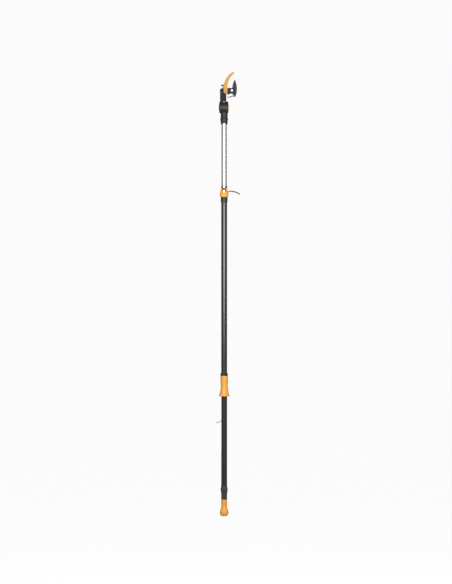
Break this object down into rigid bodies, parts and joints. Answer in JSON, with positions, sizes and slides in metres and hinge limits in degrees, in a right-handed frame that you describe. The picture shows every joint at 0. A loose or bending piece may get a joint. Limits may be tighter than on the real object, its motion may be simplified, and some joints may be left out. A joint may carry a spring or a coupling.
{
  "type": "telescopic pole pruner",
  "caption": "Telescopic pole pruner with a curved hook, a pivoting bypass blade, a tilting knuckle, a sliding pull grip and a butt knob.",
  "frame": {"origin": "centre of the butt knob's flat end, on the pole's axis", "axes": "+Z along the pole to the cutting head, the jaw's plane is XZ with the blade towards +X, front towards -Y"},
  "size_m": [0.1329, 0.065, 2.4],
  "materials": {
    "black_tube": "satin black powder coat",
    "soft_black": "fine matt",
    "black_plastic": "fine spark-eroded grain",
    "grey_plastic": "satin moulded",
    "orange_plastic": "satin moulded",
    "orange_steel": "satin enamel",
    "silver_tube": "drawn, satin anodised",
    "bright_steel": "bright zinc plate",
    "dark_steel": "blackened",
    "black_steel": "black enamel",
    "blade_steel": "low-friction black coating with a ground edge",
    "bearing_plastic": "natural acetal",
    "pale_webbing": "plain woven polyester",
    "dark_cord": "ribbed rubber"
  },
  "bodies": {
    "outer_pole": {"outer_tube": "black_tube", "end_collar": "soft_black", "rod_bush": "bearing_plastic", "collar_rivets": "dark_steel", "lock_ring": "grey_plastic", "lock_collar": "orange_plastic", "lock_yoke": "black_plastic", "lock_screws": "dark_steel", "shoe_spring": "bright_steel"},
    "lock_shoe": {"brake_shoe": "soft_black", "release_cord": "dark_cord"},
    "inner_pole": {"inner_tube": "silver_tube", "foot_bush": "bearing_plastic", "knuckle_left": "black_plastic", "knuckle_right": "black_plastic", "knuckle_screws": "dark_steel", "strap_rollers": "bearing_plastic", "roller_axles": "bright_steel", "lever_pin": "bright_steel", "fixed_roller": "bearing_plastic", "tackle_pins": "bright_steel", "main_strap": "pale_webbing", "drive_strap": "pale_webbing"},
    "lever": {"tilt_lever": "orange_plastic"},
    "tackle": {"tackle_block": "black_plastic", "tackle_wheels": "bearing_plastic", "tackle_axles": "bright_steel"},
    "head": {"head_tongue": "dark_steel", "head_front_shell": "black_plastic", "head_back_shell": "black_plastic", "head_screws": "dark_steel", "hook": "orange_steel", "hook_screws": "orange_steel", "front_bridge": "black_steel", "back_bridge": "black_steel", "pivot_bolt": "bright_steel", "pivot_nut": "bright_steel", "accessory_bolt": "dark_steel", "spring_anchor": "bright_steel", "return_spring": "bright_steel"},
    "cutting_blade": {"blade": "blade_steel", "blade_stud": "bright_steel", "arm_pivot": "bright_steel"},
    "link": {"drive_link": "dark_steel"},
    "pull_grip": {"grip_front": "orange_plastic", "grip_back": "orange_plastic", "grip_ring": "black_plastic", "grip_screws": "dark_steel", "grip_fin": "bright_steel", "fin_pins": "bright_steel", "carriage": "bearing_plastic", "strap_buckle": "dark_steel", "lower_strap": "pale_webbing", "strap_tail": "pale_webbing", "pull_rod": "silver_tube", "end_knob": "orange_plastic", "knob_pin": "bright_steel"}
  },
  "joints": [
    {"name": "telescope_slide", "type": "slide", "parent": "outer_pole", "child": "inner_pole", "axis": [0, 0, 1], "range_m": [0, 1.5], "deforming": ["main_strap"]},
    {"name": "lock_slide", "type": "slide", "parent": "outer_pole", "child": "lock_shoe", "axis": [1, 0, 0], "range_m": [0, 0.0015], "stiffness_N_per_m": 1500, "springref_m": -0.002, "deforming": ["shoe_spring"]},
    {"name": "tilt_hinge", "type": "hinge", "parent": "inner_pole", "child": "head", "pos_m": [0, 0, 2.209], "axis": [-1, 0, 0], "range_deg": [0, 115], "deforming": ["drive_strap"]},
    {"name": "lever_hinge", "type": "hinge", "parent": "inner_pole", "child": "lever", "pos_m": [0.0218, 0, 2.231], "axis": [0, -1, 0], "range_deg": [0, 60]},
    {"name": "grip_slide", "type": "slide", "parent": "outer_pole", "child": "pull_grip", "axis": [0, 0, -1], "range_m": [0, 0.137], "stiffness_N_per_m": 90, "springref_m": -0.14},
    {"name": "blade_swing", "type": "hinge", "parent": "head", "child": "cutting_blade", "pos_m": [0.0422, 0, 2.3], "axis": [0, -1, 0], "range_deg": [0, 48], "deforming": ["return_spring"]},
    {"name": "link_swing", "type": "hinge", "parent": "cutting_blade", "child": "link", "pos_m": [0.00004, 0, 2.30896], "axis": [0, 1, 0], "range_deg": [0, 61]},
    {"name": "tackle_slide", "type": "slide", "parent": "inner_pole", "child": "tackle", "axis": [0, 0, -1], "range_m": [0, 0.0343]}
  ],
  "couplings": [
    {"joint": "blade_swing", "follows": "grip_slide", "rad_per_m": 6.115},
    {"joint": "link_swing", "follows": "grip_slide", "rad_per_m": 7.771},
    {"joint": "tackle_slide", "follows": "grip_slide", "ratio": 0.25}
  ]
}
